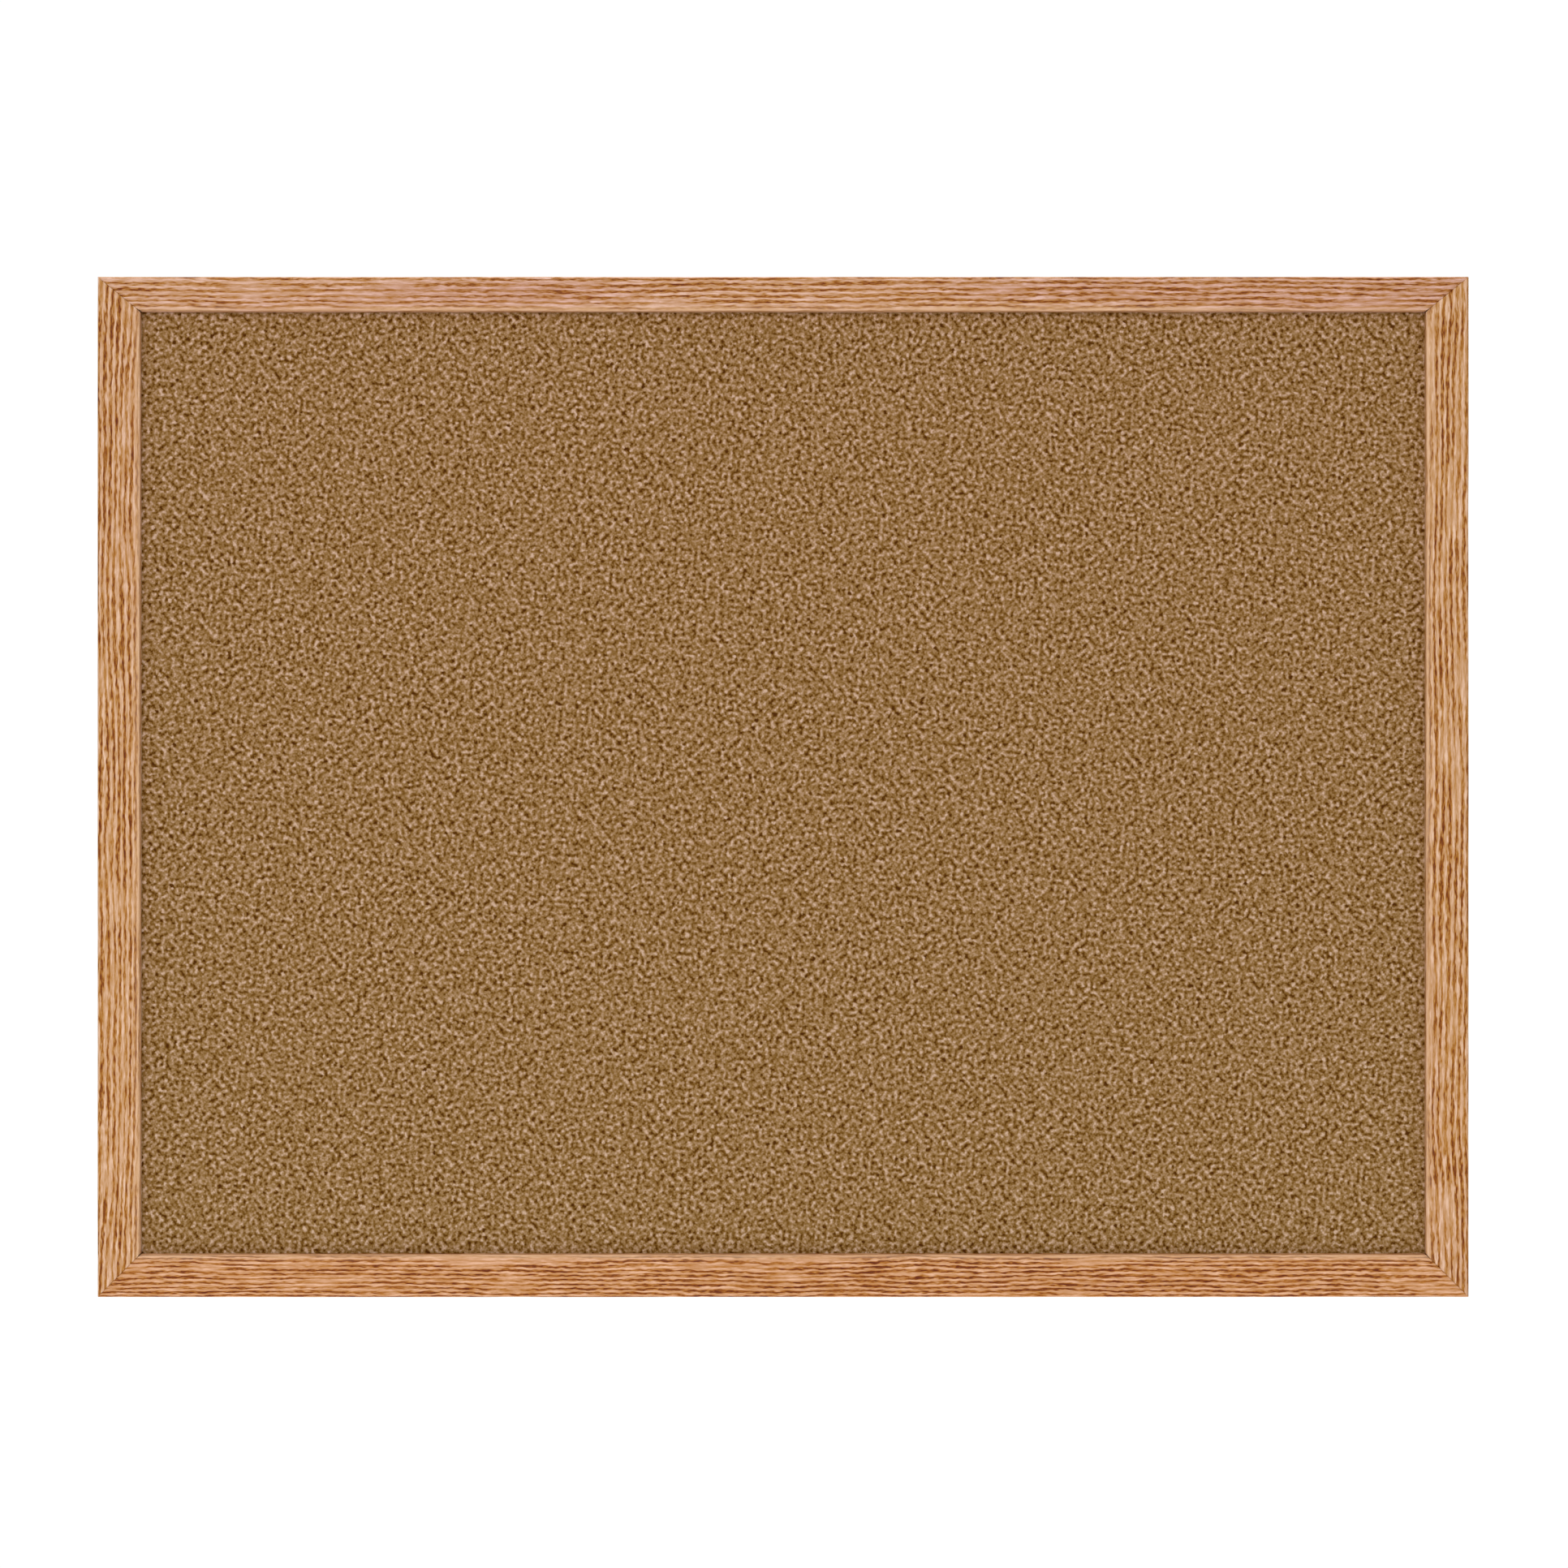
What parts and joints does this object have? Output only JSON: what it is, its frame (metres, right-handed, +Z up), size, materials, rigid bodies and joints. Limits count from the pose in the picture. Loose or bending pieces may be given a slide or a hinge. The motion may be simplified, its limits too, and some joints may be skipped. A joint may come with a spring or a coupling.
{
  "type": "cork bulletin board",
  "caption": "Rectangular cork bulletin board in a mitred oak frame, with a rebated cork-faced panel, ring hangers and rubber wall bumpers on the back.",
  "frame": {"origin": "the middle of the board's outline, on the wall plane that the bumpers touch", "axes": "+X to the viewer's right along the width, +Z up, +Y into the wall; the cork faces -Y"},
  "size_m": [0.6096, 0.0238, 0.4536],
  "materials": {
    "oak": "satin",
    "cork": "matte",
    "fibreboard": "matte",
    "kraft_paper": "matte",
    "zinc_plated_steel": "bright zinc",
    "blued_steel": "satin",
    "rubber": "matte"
  },
  "bodies": {
    "board": {"top_rail": "oak", "bottom_rail": "oak", "left_stile": "oak", "right_stile": "oak", "cork_sheet": "cork", "fibreboard_core": "fibreboard", "kraft_liner": "kraft_paper", "hanger_strap_left": "zinc_plated_steel", "hanger_strap_right": "zinc_plated_steel", "hanger_screw_left": "zinc_plated_steel", "hanger_screw_right": "zinc_plated_steel", "v_nail_top_left_outer": "blued_steel", "v_nail_top_left_inner": "blued_steel", "v_nail_top_right_outer": "blued_steel", "v_nail_top_right_inner": "blued_steel", "v_nail_bottom_left_outer": "blued_steel", "v_nail_bottom_left_inner": "blued_steel", "v_nail_bottom_right_outer": "blued_steel", "v_nail_bottom_right_inner": "blued_steel", "retaining_point_top_1": "blued_steel", "retaining_point_top_2": "blued_steel", "retaining_point_top_3": "blued_steel", "retaining_point_top_4": "blued_steel", "retaining_point_bottom_1": "blued_steel", "retaining_point_bottom_2": "blued_steel", "retaining_point_bottom_3": "blued_steel", "retaining_point_bottom_4": "blued_steel", "retaining_point_left_1": "blued_steel", "retaining_point_left_2": "blued_steel", "retaining_point_left_3": "blued_steel", "retaining_point_right_1": "blued_steel", "retaining_point_right_2": "blued_steel", "retaining_point_right_3": "blued_steel", "wall_bumper_left": "rubber", "wall_bumper_right": "rubber"},
    "ring_left": {"hanger_ring_left": "zinc_plated_steel"},
    "ring_right": {"hanger_ring_right": "zinc_plated_steel"}
  },
  "joints": [
    {"name": "ring_left_swing", "type": "hinge", "parent": "board", "child": "ring_left", "pos_m": [-0.2974, -0.0024, 0.168], "axis": [1, 0, 0], "range_deg": [0, 174]},
    {"name": "ring_right_swing", "type": "hinge", "parent": "board", "child": "ring_right", "pos_m": [0.2974, -0.0024, 0.168], "axis": [1, 0, 0], "range_deg": [0, 174]}
  ]
}
